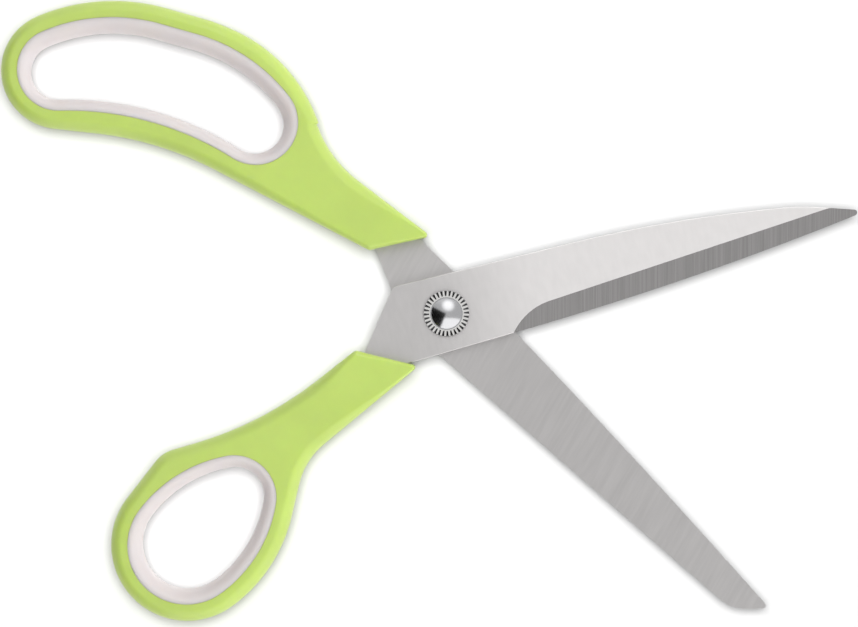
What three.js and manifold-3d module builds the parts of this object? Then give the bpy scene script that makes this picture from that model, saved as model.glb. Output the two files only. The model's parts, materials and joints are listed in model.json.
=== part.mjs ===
// Household scissors with two-material handles, lying open on a table.
//
// Millimetres, +Z up. The pivot axis is the Z axis, the table is z = 0, and +X runs along the line that
// halves the opening between the blades, towards their tips.
//
// Both halves are drawn alike: the pivot at the origin, the blade along +X with its cutting edge towards -Y,
// the outer face up, and z = 0 at the plane where the two blades meet. The rear half is then turned over
// about its own length.

import * as THREE from "three";
import { mergeVertices } from "three/addons/utils/BufferGeometryUtils.js";
import Module from "manifold-3d";

const wasm = await Module();
wasm.setup();

const degrees = THREE.MathUtils.degToRad;

// Main lengths. A blade is measured from the pivot to its tip, a neck from its end face to the centre of the
// near end of its loop, and a hole between the centres of its two ends.
const FRONT_BLADE_LENGTH = 113.2;
const REAR_BLADE_LENGTH = 116.2;
const THUMB_NECK_LENGTH = 55;
const FINGER_NECK_LENGTH = 49.8;
const THUMB_HOLE_LENGTH = 18;
const FINGER_HOLE_LENGTH = 54.5;

// Setting and clearances
const BLADE_OPENING = degrees(56.6);
const SEAT_GAP = 0.2;
const PIVOT_PLAY = 0.1;
const BLADE_GAP = 0.2;

// Blades
const BLADE_THICKNESS = 2.2;
const EDGE_LAND = 0.3;
const BEVEL_WIDTH = 6.4;
const BEVEL_RUNOUT_RADIUS = 16;

// The heel is the corner behind the pivot on the back of a blade, and the choil the corner where its cutting
// edge starts. The front blade's back bends gently down and turns to a slim nose. The rear blade's back is
// straight as far as its round nose. The bend and the round nose start so far from the tip.
const TIP_RADIUS = 0.8;
const frontBlade = {
  length: FRONT_BLADE_LENGTH,
  tipRise: 0,
  heel: { behind: 11.6, rise: 9.2, radius: 1.1 },
  choil: { ahead: 16, drop: 9.35 },
  edgeRadius: 906,
};
const FRONT_BEND = { fromTip: 77.2, rise: 10.3, radius: 380 };
const FRONT_NOSE = { facing: degrees(81), radius: 50 };

const rearBlade = {
  length: REAR_BLADE_LENGTH,
  tipRise: 0,
  heel: { behind: 6.2, rise: 8, radius: 1.5 },
  choil: { ahead: 17.2, drop: 8.85 },
  edgeRadius: 2500,
};
const REAR_NOSE = { fromTip: 6.3, rise: 5.6, facing: degrees(65.5), radius: 10.5 };

// Tangs, the narrow ends of the blades inside the handles
const TANG_LENGTH = 27;
const TANG_END_RADIUS = 3;
const TANG_ROOT_RADIUS = 2;
const LOCK_HOLE_RADIUS = 2.4;
const LOCK_HOLE_INSET = 8;

// Handles
const HANDLE_THICKNESS = 10;
const LOOP_WALL = 4.65;
const NECK_WALL = 2.35;
const RIM_ROUND = 3;
const RIM_HEIGHT_SHARE = 1.4;
const NECK_CORNER_RADIUS = 1.5;
const NECK_POINT_RADIUS = 0.8;
const NECK_RIM_SHARE = 0.85;
const POCKET_CHAMFER = 0.3;

// Soft liners in the loops, each held by a tongue round the middle of its outside
const LINER_WIDTH = 3.9;
const LINER_DROP = 0.3;
const LINER_LIP = 0.7;
const LINER_CORE = 1.6;
const TONGUE_DEPTH = 1.2;
const TONGUE_HEIGHT = 3;

// A neck's end face lies so far from the pivot, at a bearing off -X towards the edge side. The neck points
// towards the pivot with its heading, and its end face is slanted. The loop's near end lies so far off the
// neck's axis to the edge side, and the loop leans over from the neck to its far end. A hole is two end
// circles joined by side arcs, of which one with turn -1 is hollow. The finger hole's edge side is two equal
// arcs with a straight run between, which leave the end circles where these face so. Each sweep into the loop
// starts so far short of the near end and so far off the neck's axis. A tang's root starts so far behind the
// middle of the end face on the spine side, and so far ahead of it on the edge side, in a hollow bend with
// turn -1 or a bulging one.
const thumb = {
  neck: { reach: 19.9, bearing: degrees(23), heading: degrees(24.3), width: 13.8, slant: degrees(38) },
  loop: { alongNeck: THUMB_NECK_LENGTH, offNeck: 4, lean: degrees(7), length: THUMB_HOLE_LENGTH },
  hole: { nearRadius: 7.4, farRadius: 11.85 },
  spineSide: { radius: 34, turn: 1 },
  edgeSide: { radius: 32.8, turn: 1 },
  spineSweep: { short: 36.8, off: 6.9, radius: 98 },
  edgeSweep: { short: 28, off: 7.7, radius: 19.9 },
  tangRoot: { behind: 5.1, spineTurn: -1, ahead: 3.1, edgeTurn: -1 },
};

const finger = {
  neck: { reach: 22.5, bearing: degrees(14), heading: degrees(-10.3), width: 12.2, slant: degrees(45) },
  loop: { alongNeck: FINGER_NECK_LENGTH, offNeck: 6.5, lean: degrees(-17.4), length: FINGER_HOLE_LENGTH },
  hole: { nearRadius: 7.45, farRadius: 7.1 },
  spineSide: { radius: 87, turn: -1 },
  edgeSide: { radius: 43.5, nearFacing: degrees(-80.5), farFacing: degrees(-156) },
  spineSweep: { short: 4.7, off: 9.7, radius: 90 },
  edgeSweep: { short: 33.9, off: 8, radius: 32.3 },
  tangRoot: { behind: 6.9, spineTurn: -1, ahead: 4.1, edgeTurn: 1 },
};

// The knob on the thumb loop that meets the finger loop when the scissors are shut
const STOP_FACING = degrees(81);
const STOP_RISE = 5.4;
const STOP_RADIUS = 9;

// The shoulder of the finger loop, where its wall thins towards the neck
const SHOULDER_FACING = degrees(-72.9);
const SHOULDER_WALL = 3.9;
const SHOULDER_RADIUS = 42;

// Pivot: a domed screw through a toothed washer and both blades, into a barrel nut on the rear face
const SHANK_RADIUS = 2;
const BARREL_RADIUS = 3.2;
const NUT_HEAD_RADIUS = 5;
const NUT_CHAMFER = 0.6;
const NUT_FLOOR = 1.2;
const WASHER_THICKNESS = 0.8;
const WASHER_TEETH = 32;
const WASHER_TIP_RADIUS = 6.05;
const WASHER_ROOT_RADIUS = 4.8;
const TOOTH_ROOT_SHARE = 0.72;
const TOOTH_TIP_SHARE = 0.5;
const DOME_RADIUS = 4.35;
const DOME_RIM = 0.5;
const DOME_RISE = 1.5;

// Fineness of the facets. An arc that would turn back by less than the slack is not taken for a full turn.
const CHORD_ERROR = 0.05;
const TURN_SLACK = 0.1;
const RIM_STEPS = 4;
const ROUND_SEGMENTS = 40;
const SAME_POINT = 0.001;

// Heights from the plane where the blades meet
const BLADE_INNER_FACE = BLADE_GAP / 2;
const BLADE_OUTER_FACE = BLADE_INNER_FACE + BLADE_THICKNESS;
const HANDLE_FACE = HANDLE_THICKNESS / 2;
const LINER_FACE = HANDLE_FACE - LINER_DROP;
const WASHER_BASE = BLADE_OUTER_FACE + PIVOT_PLAY;
const HEAD_BASE = WASHER_BASE + WASHER_THICKNESS + PIVOT_PLAY;
const NUT_SHOULDER = -BLADE_OUTER_FACE - PIVOT_PLAY;
const CUT_PAST = 1;

// Materials
const satinSteel = new THREE.MeshStandardMaterial({ color: 0xc9c8c8, roughness: 0.35, metalness: 1 });
const groundSteel = new THREE.MeshStandardMaterial({ color: 0xb8b7b8, roughness: 0.42, metalness: 1 });
const greenPlastic = new THREE.MeshStandardMaterial({ color: 0xbedb70, roughness: 0.45, metalness: 0 });
const paleRubber = new THREE.MeshStandardMaterial({ color: 0xe4dfde, roughness: 0.6, metalness: 0 });
const brightChrome = new THREE.MeshStandardMaterial({ color: 0xe0e0e2, roughness: 0.08, metalness: 1 });
const nickel = new THREE.MeshStandardMaterial({ color: 0xcfcecb, roughness: 0.25, metalness: 1 });

// Solids and pieces

function solid(geometry) {
  const bare = geometry.clone();
  bare.deleteAttribute("normal");
  bare.deleteAttribute("uv");
  const merged = mergeVertices(bare);
  return new wasm.Manifold(new wasm.Mesh({
    numProp: 3,
    vertProperties: merged.attributes.position.array,
    triVerts: new Uint32Array(merged.index.array),
  }));
}

function piece(name, body, material) {
  const mesh = body.getMesh();
  const geometry = new THREE.BufferGeometry();
  geometry.setAttribute("position", new THREE.BufferAttribute(mesh.vertProperties, mesh.numProp));
  geometry.setIndex(new THREE.BufferAttribute(mesh.triVerts, 1));
  geometry.computeVertexNormals();
  const part = new THREE.Mesh(geometry, material);
  part.name = name;
  return part;
}

// Skin over a row of rings with equal point counts, each ring running anticlockwise seen from above. A ring
// row closes on itself, and a capped row rises from its first ring to its last.
function loft(rings, capped) {
  const count = rings[0].length;
  const indices = [];
  rings.slice(capped ? 1 : 0).forEach((_, row) => {
    const above = (row + 1) % rings.length;
    for (let at = 0; at < count; at++) {
      const next = (at + 1) % count;
      const [a, b] = [row * count + at, row * count + next];
      const [c, d] = [above * count + next, above * count + at];
      indices.push(a, b, c, a, c, d);
    }
  });
  if (capped) {
    const top = (rings.length - 1) * count;
    const flat = (ring) => ring.map(([x, y]) => new THREE.Vector2(x, y));
    const cap = (ring) => THREE.ShapeUtils.triangulateShape(flat(ring), []);
    cap(rings[0]).forEach(([i, j, k]) => indices.push(i, k, j));
    cap(rings.at(-1)).forEach(([i, j, k]) => indices.push(top + i, top + j, top + k));
  }
  const geometry = new THREE.BufferGeometry();
  geometry.setAttribute("position", new THREE.Float32BufferAttribute(rings.flat(2), 3));
  geometry.setIndex(indices);
  return solid(geometry);
}

function plate(outline, bottom, top) {
  const shape = new THREE.Shape(outline.map(({ x, y }) => new THREE.Vector2(x, y)));
  const geometry = new THREE.ExtrudeGeometry(shape, { depth: top - bottom, bevelEnabled: false });
  return solid(geometry.translate(0, 0, bottom));
}

function post({ x, y }, radius, bottom, top) {
  const geometry = new THREE.CylinderGeometry(radius, radius, top - bottom, ROUND_SEGMENTS);
  return solid(geometry.rotateX(Math.PI / 2).translate(x, y, (top + bottom) / 2));
}

// A turned solid: its profile runs from the axis at the bottom, round the outside, to the axis at the top.
function turned(profile) {
  const points = profile.map(([radius, height]) => new THREE.Vector2(radius, height));
  return solid(new THREE.LatheGeometry(points, ROUND_SEGMENTS).rotateX(Math.PI / 2));
}

// Outlines

// A belt is a closed outline, run anticlockwise, that goes round a row of circles and straight from one to
// the next. It bulges round a circle with turn 1 and is hollowed by one with turn -1. Each of its points
// carries the way outwards there, and the rim rounding of its circle.
function belt(circles, grow = 0) {
  const leaving = circles.map((circle, at) => {
    const next = circles[(at + 1) % circles.length];
    const [dx, dy] = [next.x - circle.x, next.y - circle.y];
    const share = (next.turn * next.radius - circle.turn * circle.radius) / Math.hypot(dx, dy);
    return Math.atan2(dy, dx) + Math.acos(THREE.MathUtils.clamp(share, -1, 1));
  });
  const points = circles.flatMap(({ x, y, radius, turn, rim }, at) => {
    const start = leaving.at(at - 1);
    const forward = turn * (leaving[at] - start) + TURN_SLACK;
    const sweep = THREE.MathUtils.euclideanModulo(forward, 2 * Math.PI) - TURN_SLACK;
    const finest = 2 * Math.acos(Math.max(0, 1 - CHORD_ERROR / radius));
    const steps = Math.ceil(Math.max(sweep, 0) / finest) || 1;
    return Array.from({ length: steps + 1 }, (_, step) => {
      const inward = start + turn * sweep * step / steps;
      const [outX, outY] = [-Math.cos(inward), -Math.sin(inward)];
      const reach = turn * radius + grow;
      return { x: x + reach * outX, y: y + reach * outY, outX, outY, rim };
    });
  });
  return points.filter(({ x, y }, at) => {
    const last = points.at(at - 1);
    return Math.hypot(x - last.x, y - last.y) > SAME_POINT;
  });
}

const raised = (outline, height) => outline.map(({ x, y }) => [x, y, height]);

// An arc that joins two circles on the left of the way from one to the other.
function sideArc(from, to, { radius, turn }) {
  const [dx, dy] = [to.x - from.x, to.y - from.y];
  const span = Math.hypot(dx, dy);
  const [reachFrom, reachTo] = [radius - turn * from.radius, radius - turn * to.radius];
  const along = (reachFrom ** 2 - reachTo ** 2 + span ** 2) / (2 * span);
  const across = -turn * Math.sqrt(reachFrom ** 2 - along ** 2);
  const x = from.x + (along * dx - across * dy) / span;
  const y = from.y + (along * dy + across * dx) / span;
  return { x, y, radius, turn };
}

// A bulging circle that touches another, or passes through a point, where both face the same way.
function touching(circle, facing, radius, rim) {
  const reach = circle.radius - radius;
  const x = circle.x + reach * Math.cos(facing);
  const y = circle.y + reach * Math.sin(facing);
  return { x, y, radius, turn: 1, rim };
}

const round = (x, y, radius) => ({ x, y, radius, turn: 1 });

const point = (x, y) => round(x, y, 0);

// A place on a neck, so far along it from its end face and so far off its axis to the spine side.
function onNeck({ reach, bearing, heading }, along, off) {
  const x = -reach * Math.cos(bearing) - along * Math.cos(heading) - off * Math.sin(heading);
  const y = -reach * Math.sin(bearing) - along * Math.sin(heading) + off * Math.cos(heading);
  return { x, y };
}

// Blades

const lockHole = ({ neck }) => onNeck(neck, TANG_LENGTH - LOCK_HOLE_INSET, 0);

const tipOf = ({ length, tipRise }) => round(length - TIP_RADIUS, tipRise, TIP_RADIUS);

const heelOf = ({ heel }) => round(-heel.behind, heel.rise, heel.radius);

const choilOf = ({ choil }) => point(choil.ahead, -choil.drop);

function frontBack() {
  const start = point(frontBlade.length - FRONT_BEND.fromTip, FRONT_BEND.rise);
  const bend = touching(start, Math.PI / 2, FRONT_BEND.radius);
  return [touching(bend, FRONT_NOSE.facing, FRONT_NOSE.radius), bend];
}

function rearBack() {
  const start = point(rearBlade.length - REAR_NOSE.fromTip, REAR_NOSE.rise);
  return [touching(start, REAR_NOSE.facing, REAR_NOSE.radius)];
}

function cuttingEdge(blade) {
  return sideArc(tipOf(blade), choilOf(blade), { radius: blade.edgeRadius, turn: 1 });
}

function bladeCircles(blade, back, { neck, tangRoot }) {
  const halfWidth = neck.width / 2 - NECK_WALL;
  const root = (along, turn, side) => ({
    ...onNeck(neck, along, side * (halfWidth - turn * TANG_ROOT_RADIUS)),
    radius: TANG_ROOT_RADIUS,
    turn,
  });
  const end = (side) => ({
    ...onNeck(neck, TANG_LENGTH - TANG_END_RADIUS, side * (halfWidth - TANG_END_RADIUS)),
    radius: TANG_END_RADIUS,
    turn: 1,
  });
  return [
    tipOf(blade),
    ...back,
    heelOf(blade),
    root(tangRoot.behind, tangRoot.spineTurn, 1),
    end(1),
    end(-1),
    root(-tangRoot.ahead, tangRoot.edgeTurn, -1),
    choilOf(blade),
    cuttingEdge(blade),
  ];
}

// The ground bevel along the cutting edge: everything above a plane that falls from a line on the outer face
// to the edge. The line runs parallel to the chord of the edge, and curves down to the choil where the
// grinding wheel ran out.
function bevelCut(blade) {
  const [tip, choil, edge] = [tipOf(blade), choilOf(blade), cuttingEdge(blade)];
  const slope = Math.atan2(tip.y - tip.radius - choil.y, tip.x - choil.x);
  const toSpine = new THREE.Vector2(-Math.sin(slope), Math.cos(slope));
  const belly = edge.radius - (edge.x - choil.x) * toSpine.x - (edge.y - choil.y) * toSpine.y;
  const widthAtChoil = BEVEL_WIDTH - belly;
  const runout = Math.sqrt(BEVEL_RUNOUT_RADIUS ** 2 - (BEVEL_RUNOUT_RADIUS - widthAtChoil) ** 2);
  const length = tip.x - choil.x;
  const shape = new THREE.Shape();
  shape.moveTo(runout, BEVEL_WIDTH);
  shape.lineTo(runout, 0);
  shape.absarc(runout, -BEVEL_RUNOUT_RADIUS, BEVEL_RUNOUT_RADIUS, Math.PI / 2, Math.PI, false);
  shape.lineTo(runout - BEVEL_RUNOUT_RADIUS, -2 * BEVEL_RUNOUT_RADIUS);
  shape.lineTo(length + BEVEL_WIDTH, -2 * BEVEL_RUNOUT_RADIUS);
  shape.lineTo(length + BEVEL_WIDTH, BEVEL_WIDTH);
  const depth = BLADE_THICKNESS + BEVEL_WIDTH;
  const geometry = new THREE.ExtrudeGeometry(shape, { depth, bevelEnabled: false });
  geometry.rotateX(Math.atan((BLADE_THICKNESS - EDGE_LAND) / BEVEL_WIDTH));
  geometry.rotateZ(slope);
  const [x, y] = [choil.x + widthAtChoil * toSpine.x, choil.y + widthAtChoil * toSpine.y];
  return solid(geometry.translate(x, y, BLADE_OUTER_FACE));
}

function bladeBody(blade, circles, half) {
  const through = [BLADE_INNER_FACE - CUT_PAST, BLADE_OUTER_FACE + CUT_PAST];
  return plate(belt(circles), BLADE_INNER_FACE, BLADE_OUTER_FACE)
    .subtract(bevelCut(blade))
    .subtract(post({ x: 0, y: 0 }, BARREL_RADIUS + PIVOT_PLAY, ...through))
    .subtract(post(lockHole(half), LOCK_HOLE_RADIUS, ...through));
}

// Handles

function loopEnds({ neck, loop, hole }) {
  const near = onNeck(neck, loop.alongNeck, -loop.offNeck);
  const way = neck.heading + loop.lean;
  const [farX, farY] = [near.x - loop.length * Math.cos(way), near.y - loop.length * Math.sin(way)];
  return { near: round(near.x, near.y, hole.nearRadius), far: round(farX, farY, hole.farRadius) };
}

function thumbHole() {
  const { near, far } = loopEnds(thumb);
  return [far, sideArc(near, far, thumb.edgeSide), near, sideArc(far, near, thumb.spineSide)];
}

function fingerHole() {
  const { near, far } = loopEnds(finger);
  const { radius, nearFacing, farFacing } = finger.edgeSide;
  const edgeSide = [touching(far, farFacing, radius), touching(near, nearFacing, radius)];
  return [far, ...edgeSide, near, sideArc(far, near, finger.spineSide)];
}

// The outside of the loop, a liner and a wall further out than one of the hole's circles.
function outside(circle, wall = LOOP_WALL) {
  return { ...circle, radius: circle.radius + LINER_WIDTH + wall, turn: 1, rim: RIM_ROUND };
}

// A corner of a neck's slanted end face: blunt on its spine side (1) and pointed on its edge side (-1).
function neckCorner({ neck }, side) {
  const radius = side > 0 ? NECK_CORNER_RADIUS : NECK_POINT_RADIUS;
  const off = side * (neck.width / 2 - radius);
  const along = off * Math.tan(neck.slant) + radius / Math.cos(neck.slant);
  return { ...onNeck(neck, along, off), radius, turn: 1, rim: radius * NECK_RIM_SHARE };
}

function sweepCircle({ neck, loop }, { short, off, radius }, side) {
  const start = onNeck(neck, loop.alongNeck - short, side * (off + radius));
  return { ...start, radius, turn: -1, rim: RIM_ROUND };
}

function thumbOutline([far, edgeSide]) {
  const stopReach = outside(far, LOOP_WALL + STOP_RISE);
  return belt([
    neckCorner(thumb, 1),
    sweepCircle(thumb, thumb.spineSweep, 1),
    touching(stopReach, STOP_FACING, STOP_RADIUS, RIM_ROUND),
    outside(far),
    outside(edgeSide),
    sweepCircle(thumb, thumb.edgeSweep, -1),
    neckCorner(thumb, -1),
  ]);
}

function fingerOutline([far, farSide, nearSide, near]) {
  return belt([
    neckCorner(finger, 1),
    sweepCircle(finger, finger.spineSweep, 1),
    outside(far),
    outside(farSide),
    outside(nearSide),
    touching(outside(near, SHOULDER_WALL), SHOULDER_FACING, SHOULDER_RADIUS, RIM_ROUND),
    sweepCircle(finger, finger.edgeSweep, -1),
    neckCorner(finger, -1),
  ]);
}

// A slab as wide as its outline at mid height, rounded over towards both flat faces.
function roundedSlab(outline) {
  const upper = Array.from({ length: RIM_STEPS + 1 }, (_, step) => {
    const lean = step / RIM_STEPS * Math.PI / 2;
    return outline.map(({ x, y, outX, outY, rim }) => {
      const inset = rim * (1 - Math.cos(lean));
      const drop = rim * RIM_HEIGHT_SHARE * (1 - Math.sin(lean));
      return [x - inset * outX, y - inset * outY, HANDLE_FACE - drop];
    });
  });
  const lower = upper.map((ring) => ring.map(([x, y, z]) => [x, y, -z])).reverse();
  return loft([...lower, ...upper], true);
}

// The space for a liner: straight walls with a groove for its tongue, opened a little at both faces.
function linerPocket(hole) {
  const grooveFace = TONGUE_HEIGHT / 2 + SEAT_GAP;
  const flare = POCKET_CHAMFER + CUT_PAST;
  const upper = [
    [LINER_WIDTH + TONGUE_DEPTH, grooveFace],
    [LINER_WIDTH, grooveFace],
    [LINER_WIDTH, HANDLE_FACE - POCKET_CHAMFER],
    [LINER_WIDTH + flare, HANDLE_FACE + CUT_PAST],
  ];
  const lower = upper.map(([grow, height]) => [grow, -height]).reverse();
  return loft([...lower, ...upper].map(([grow, height]) => raised(belt(hole, grow), height)), true);
}

function handleBody(outline, hole, circles, half) {
  const tangSpace = belt(circles, SEAT_GAP);
  const [floor, roof] = [BLADE_INNER_FACE - SEAT_GAP, BLADE_OUTER_FACE + SEAT_GAP];
  return roundedSlab(outline)
    .subtract(linerPocket(hole))
    .subtract(plate(tangSpace, floor, roof))
    .add(post(lockHole(half), LOCK_HOLE_RADIUS - SEAT_GAP, floor - CUT_PAST, roof + CUT_PAST));
}

// A liner's section: a straight back with its tongue, a narrow lip at each face, and a crowned front.
function linerBody(hole) {
  const back = LINER_WIDTH - SEAT_GAP;
  const lip = back - LINER_LIP;
  const crown = Array.from({ length: RIM_STEPS + 1 }, (_, step) => {
    const lean = step / RIM_STEPS * Math.PI / 2;
    const rise = LINER_FACE - LINER_CORE / 2;
    return [lip * (1 - Math.sin(lean)), LINER_CORE / 2 + rise * Math.cos(lean)];
  });
  const upper = [
    [back + TONGUE_DEPTH, TONGUE_HEIGHT / 2],
    [back, TONGUE_HEIGHT / 2],
    [back, LINER_FACE],
    ...crown,
  ];
  const lower = upper.map(([grow, height]) => [grow, -height]).reverse();
  return loft([...upper, ...lower].map(([grow, height]) => raised(belt(hole, grow), height)), false);
}

// Pivot

function pivotScrew() {
  const rim = HEAD_BASE + DOME_RIM;
  const dome = Array.from({ length: 2 * RIM_STEPS + 1 }, (_, step) => {
    const lean = step / (2 * RIM_STEPS) * Math.PI / 2;
    return [DOME_RADIUS * Math.cos(lean), rim + DOME_RISE * Math.sin(lean)];
  });
  dome.at(-1)[0] = 0;
  const shankEnd = NUT_FLOOR + PIVOT_PLAY - HANDLE_FACE;
  return turned([
    [0, shankEnd],
    [SHANK_RADIUS, shankEnd],
    [SHANK_RADIUS, HEAD_BASE],
    [DOME_RADIUS, HEAD_BASE],
    ...dome,
  ]);
}

function pivotNut() {
  const bore = SHANK_RADIUS + PIVOT_PLAY;
  return turned([
    [0, -HANDLE_FACE],
    [NUT_HEAD_RADIUS - NUT_CHAMFER, -HANDLE_FACE],
    [NUT_HEAD_RADIUS, NUT_CHAMFER - HANDLE_FACE],
    [NUT_HEAD_RADIUS, NUT_SHOULDER],
    [BARREL_RADIUS, NUT_SHOULDER],
    [BARREL_RADIUS, BLADE_OUTER_FACE],
    [bore, BLADE_OUTER_FACE],
    [bore, NUT_FLOOR - HANDLE_FACE],
    [0, NUT_FLOOR - HANDLE_FACE],
  ]);
}

function toothedWasher() {
  const pitch = 2 * Math.PI / WASHER_TEETH;
  const corners = [
    [WASHER_ROOT_RADIUS, -TOOTH_ROOT_SHARE / 2],
    [WASHER_TIP_RADIUS, -TOOTH_TIP_SHARE / 2],
    [WASHER_TIP_RADIUS, TOOTH_TIP_SHARE / 2],
    [WASHER_ROOT_RADIUS, TOOTH_ROOT_SHARE / 2],
  ];
  const outline = Array.from({ length: WASHER_TEETH }, (_, tooth) => corners.map(([radius, share]) => {
    const angle = (tooth + share) * pitch;
    return { x: radius * Math.cos(angle), y: radius * Math.sin(angle) };
  })).flat();
  const [bottom, top] = [WASHER_BASE, WASHER_BASE + WASHER_THICKNESS];
  const bore = post({ x: 0, y: 0 }, SHANK_RADIUS + PIVOT_PLAY, bottom - CUT_PAST, top + CUT_PAST);
  return plate(outline, bottom, top).subtract(bore);
}

// Assembly

const frontCircles = bladeCircles(frontBlade, frontBack(), thumb);
const frontHole = thumbHole();
const frontHalf = new THREE.Group();
frontHalf.rotation.z = BLADE_OPENING / 2;
frontHalf.add(
  piece("front_blade", bladeBody(frontBlade, frontCircles, thumb), satinSteel),
  piece("thumb_handle", handleBody(thumbOutline(frontHole), frontHole, frontCircles, thumb), greenPlastic),
  piece("thumb_loop_liner", linerBody(frontHole), paleRubber),
);

const rearCircles = bladeCircles(rearBlade, rearBack(), finger);
const rearHole = fingerHole();
const rearHalf = new THREE.Group();
rearHalf.rotation.set(Math.PI, 0, BLADE_OPENING / 2);
rearHalf.add(
  piece("rear_blade", bladeBody(rearBlade, rearCircles, finger), groundSteel),
  piece("finger_handle", handleBody(fingerOutline(rearHole), rearHole, rearCircles, finger), greenPlastic),
  piece("finger_loop_liner", linerBody(rearHole), paleRubber),
);

const scissors = new THREE.Group();
scissors.position.z = HANDLE_FACE;
scissors.add(
  frontHalf,
  rearHalf,
  piece("pivot_screw", pivotScrew(), brightChrome),
  piece("toothed_washer", toothedWasher(), nickel),
  piece("pivot_nut", pivotNut(), nickel),
);

export default scissors;
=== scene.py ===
import json

import bmesh
import bpy
import numpy as np
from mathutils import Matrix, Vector


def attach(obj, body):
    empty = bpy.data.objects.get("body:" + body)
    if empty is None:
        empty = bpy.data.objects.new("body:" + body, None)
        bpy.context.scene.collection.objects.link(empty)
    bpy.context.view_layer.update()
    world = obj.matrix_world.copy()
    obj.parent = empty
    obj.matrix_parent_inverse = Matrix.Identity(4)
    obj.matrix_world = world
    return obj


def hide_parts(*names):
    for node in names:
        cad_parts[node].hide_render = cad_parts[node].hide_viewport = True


# Household scissors with two-material handles, lying open on a white table. The pieces of each half
# are drawn in millimetres with the pivot at the origin, the blade along +X with its cutting edge
# towards -Y and its outer face up. They go to their places, in metres, where their meshes are made.

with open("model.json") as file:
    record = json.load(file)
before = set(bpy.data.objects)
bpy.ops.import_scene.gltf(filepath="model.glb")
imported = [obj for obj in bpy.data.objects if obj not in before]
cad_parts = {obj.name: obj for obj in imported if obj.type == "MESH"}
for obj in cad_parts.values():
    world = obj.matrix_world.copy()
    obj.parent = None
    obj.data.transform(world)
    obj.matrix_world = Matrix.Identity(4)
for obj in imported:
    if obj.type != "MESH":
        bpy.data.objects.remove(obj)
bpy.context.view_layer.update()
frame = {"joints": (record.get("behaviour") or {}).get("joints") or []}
pivot = np.array(frame["joints"][0]["pos_m"])


# Blades
#
# Two plates stamped from stainless sheet, which pass each other at the pivot. Each is ground to a
# bevel along its cutting edge on the outside and ground across on the inside, and its tang is held
# in the handle.

BLADE_OPENING = np.radians(56.6)
BLADE_GAP = 0.2
BLADE_THICKNESS = 2.2
FRONT_BLADE_LENGTH = 113.2
REAR_BLADE_LENGTH = 116.2
OUTER_EDGE_ROUND = 0.15
INNER_EDGE_ROUND = 0.05
EDGE_LAND = 0.3
BEVEL_WIDTH = 6.4
BEVEL_CLOSING = np.radians(0.6)
BEVEL_RUNOUT_RADIUS = 17
TIP_RADIUS = 0.8
FRONT_BEND_FROM_TIP = 77.2
FRONT_BEND_RISE = 10.3
FRONT_BEND_RADIUS = 380
FRONT_NOSE_FACING = np.radians(81)
FRONT_NOSE_RADIUS = 50
REAR_NOSE_FROM_TIP = 6.3
REAR_NOSE_RISE = 5.6
REAR_NOSE_FACING = np.radians(65.5)
REAR_NOSE_RADIUS = 10.5
CHOIL_RADIUS = 0.4
PIVOT_HOLE_RADIUS = 3.3
TANG_LENGTH = 27
TANG_END_RADIUS = 3
TANG_ROOT_RADIUS = 2
NECK_WALL = 2.35
LOCK_HOLE_RADIUS = 2.4
LOCK_HOLE_INSET = 8
WHEEL_LEAN = np.radians(-13)
ON_BEVEL = 0.99999
FACES_OUT = 0.3

MILLIMETRE = 0.001
SAME_POINT = 1e-7
TURN_SLACK = 0.1
ARC_STEPS = 40
LINE_STEPS = 12
ROUND_STEPS = 96
EDGE_STEPS = 9
CUT_PAST = 1
FACE_MARGIN = 0.08

STEEL_TINT = (1, 0.975, 0.968)
PAINTED_SHADE_SPAN = (-0.01, 0.03)
ROUGHNESS_SWING = 0.05
NOISE_SPAN = (0.3, 0.7)

# A finish: its shades at the pivot and along the blade, which are painted light (the satin side
# has painted shade near the pivot, the bevel a dark painted shade all along, and the ground side
# painted shade towards the tip), how far streaks swing them, its roughness, and the width and
# length of a streak in metres
satin_finish = dict(painted_shades=(0.58, 0.805), swing=0.012, roughness=0.45, streak=(0.0012, 0.004))
bevel_finish = dict(painted_shades=(0.212, 0.212), swing=0.03, roughness=0.45, streak=(0.0004, 0.03))
ground_finish = dict(painted_shades=(0.575, 0.515), swing=0.02, roughness=0.42, streak=(0.0008, 0.012))

# A neck's end face: its distance and bearing from the pivot, the way that the neck points, its
# width and its slant
thumb_neck = dict(reach=19.9, bearing=np.radians(23), heading=np.radians(24.3), width=13.8,
                  slant=np.radians(38))
finger_neck = dict(reach=22.5, bearing=np.radians(14), heading=np.radians(-10.3), width=12.2,
                   slant=np.radians(45))

blade_inner = BLADE_GAP / 2
blade_outer = blade_inner + BLADE_THICKNESS
through_blade = (blade_inner - CUT_PAST, blade_outer + CUT_PAST)
cos_half, sin_half = np.cos(BLADE_OPENING / 2), np.sin(BLADE_OPENING / 2)
front_turn = np.array([[cos_half, -sin_half, 0], [sin_half, cos_half, 0], [0, 0, 1]])
rear_turn = np.array([[cos_half, -sin_half, 0], [-sin_half, -cos_half, 0], [0, 0, -1]])


def circle(x, y, reach, rim=0.0):
    """One circle of an outline, with the rim rounding beside it. The outline bulges round a positive
    reach and is hollowed by a negative one."""
    return np.array([x, y, reach, rim])


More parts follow.
